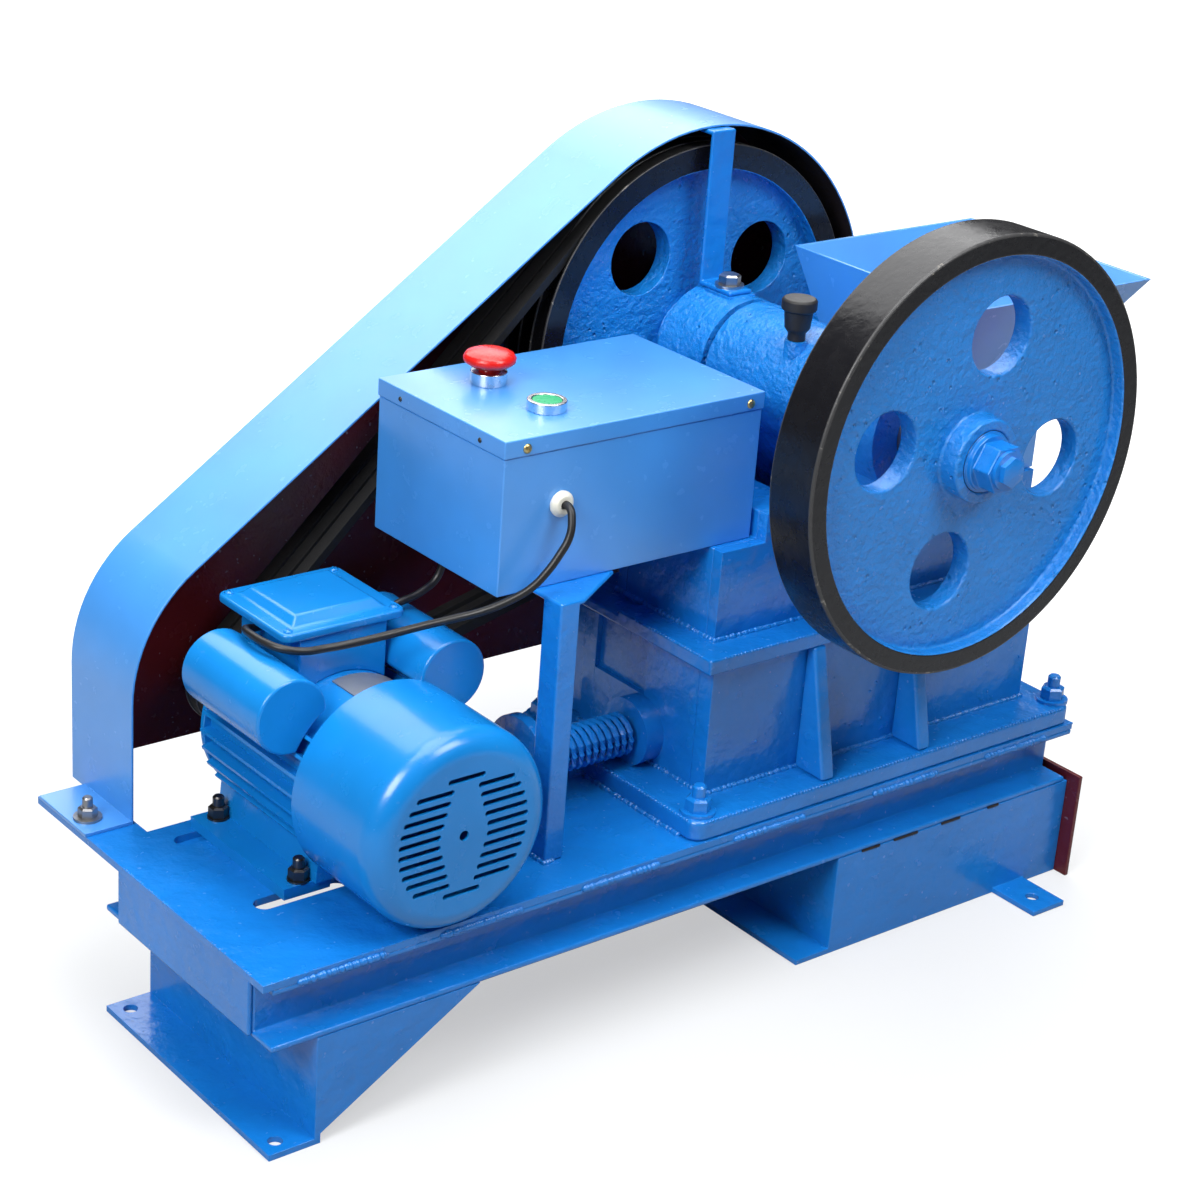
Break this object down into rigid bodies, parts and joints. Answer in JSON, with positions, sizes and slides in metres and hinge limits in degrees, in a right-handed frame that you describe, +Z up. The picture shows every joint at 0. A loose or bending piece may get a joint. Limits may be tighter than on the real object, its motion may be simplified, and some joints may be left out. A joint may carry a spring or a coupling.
{
  "type": "laboratory jaw crusher",
  "caption": "Small jaw crusher with feed hopper, spoked flywheels, belt guard, finned electric motor and control box on a welded channel base.",
  "frame": {"origin": "on the floor under the middle of the whole machine", "axes": "+Z up, +X from the motor end to the hopper end, +Y from the near flywheel to the belt guard"},
  "size_m": [0.849, 0.45, 0.635],
  "materials": {
    "blue_paint": "satin machine enamel",
    "black_iron": "painted black, scuffed rims",
    "red_oxide": "matt primer",
    "jaw_steel": "as cast",
    "bare_steel": "turned",
    "rubber": "matt",
    "red_plastic": "gloss",
    "green_plastic": "gloss",
    "bezel_metal": "bright",
    "white_plastic": "satin",
    "black_plastic": "satin"
  },
  "bodies": {
    "machine": {"near_channel": "blue_paint", "far_channel": "blue_paint", "deck_plate": "blue_paint", "channel_end_plate": "blue_paint", "left_leg": "blue_paint", "leg_box": "blue_paint", "end_panel": "red_oxide", "crusher_flange": "blue_paint", "lower_side_walls": "blue_paint", "lower_rear_wall": "blue_paint", "front_wall": "blue_paint", "collar": "blue_paint", "upper_side_walls": "blue_paint", "upper_rear_wall": "blue_paint", "side_ribs": "blue_paint", "bearing_housings": "blue_paint", "fixed_jaw_plate": "jaw_steel", "cheek_plates": "jaw_steel", "toggle_plate": "bare_steel", "tension_rod": "bare_steel", "spring": "blue_paint", "hopper": "blue_paint", "guard_band": "blue_paint", "guard_back": "red_oxide", "guard_strap": "blue_paint", "drive_belts": "rubber", "motor_body": "blue_paint", "motor_shield": "blue_paint", "fan_cowl": "blue_paint", "terminal_box": "blue_paint", "terminal_lid": "blue_paint", "capacitor_covers": "blue_paint", "control_box": "blue_paint", "control_lid": "blue_paint", "post": "blue_paint", "button_bezels": "bezel_metal", "grommet": "white_plastic", "control_lead": "rubber", "supply_lead": "rubber"},
    "rotor": {"shaft": "bare_steel", "near_flywheel": "black_iron", "pulley_wheel": "black_iron"},
    "motor_rotor": {"motor_pulley": "black_iron"},
    "jaw": {"swing_jaw": "blue_paint", "swing_jaw_plate": "jaw_steel", "grease_cup": "black_plastic"},
    "stop_button": {"stop_head": "red_plastic"},
    "start_button": {"start_cap": "green_plastic"}
  },
  "joints": [
    {"name": "flywheel_spin", "type": "hinge", "parent": "machine", "child": "rotor", "pos_m": [0.1465, 0, 0.455], "axis": [0, 1, 0], "continuous": true},
    {"name": "motor_spin", "type": "hinge", "parent": "machine", "child": "motor_rotor", "pos_m": [-0.2695, 0, 0.226], "axis": [0, 1, 0], "continuous": true},
    {"name": "jaw_swing", "type": "hinge", "parent": "machine", "child": "jaw", "pos_m": [0.1465, 0, 0.455], "axis": [0, -1, 0], "range_deg": [0, 1.4]},
    {"name": "stop_press", "type": "slide", "parent": "machine", "child": "stop_button", "axis": [0, 0, -1], "range_m": [0, 0.004], "stiffness_N_per_m": 2000, "springref_m": -0.001},
    {"name": "start_press", "type": "slide", "parent": "machine", "child": "start_button", "axis": [0, 0, -1], "range_m": [0, 0.0025], "stiffness_N_per_m": 1000, "springref_m": -0.001}
  ],
  "couplings": [
    {"joint": "motor_spin", "follows": "flywheel_spin", "ratio": 4.3889}
  ]
}
